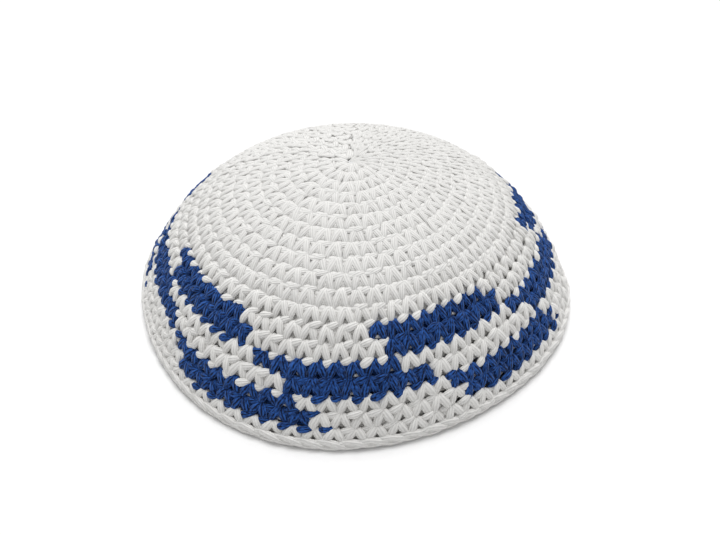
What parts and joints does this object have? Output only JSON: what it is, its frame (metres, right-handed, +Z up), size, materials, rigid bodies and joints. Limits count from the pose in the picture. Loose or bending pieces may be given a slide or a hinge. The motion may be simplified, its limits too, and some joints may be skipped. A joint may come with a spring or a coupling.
{
  "type": "kippah skullcap",
  "caption": "Crocheted cotton skullcap with a white crown, a chequered band of blue and white blocks and a white braided edge.",
  "frame": {"origin": "on the surface that the cap stands on, under the middle of the rim", "axes": "+Z up through the crown, -Y towards the front, +X to the right seen from the front"},
  "size_m": [0.1756, 0.1636, 0.0526],
  "materials": {
    "white_cotton": "matt",
    "blue_cotton": "matt"
  },
  "bodies": {
    "root": {"crown": "white_cotton", "blue_block_a01": "blue_cotton", "white_block_a02": "white_cotton", "blue_block_a03": "blue_cotton", "white_block_a04": "white_cotton", "blue_block_a05": "blue_cotton", "white_block_a06": "white_cotton", "blue_block_a07": "blue_cotton", "white_block_a08": "white_cotton", "blue_block_a09": "blue_cotton", "white_block_a10": "white_cotton", "white_block_b01": "white_cotton", "blue_block_b02": "blue_cotton", "white_block_b03": "white_cotton", "blue_block_b04": "blue_cotton", "white_block_b05": "white_cotton", "blue_block_b06": "blue_cotton", "white_block_b07": "white_cotton", "blue_block_b08": "blue_cotton", "white_block_b09": "white_cotton", "blue_block_b10": "blue_cotton", "blue_block_c01": "blue_cotton", "white_block_c02": "white_cotton", "blue_block_c03": "blue_cotton", "white_block_c04": "white_cotton", "blue_block_c05": "blue_cotton", "white_block_c06": "white_cotton", "blue_block_c07": "blue_cotton", "white_block_c08": "white_cotton", "blue_block_c09": "blue_cotton", "white_block_c10": "white_cotton", "plain_round": "white_cotton", "edge_braid": "white_cotton"}
  },
  "joints": []
}
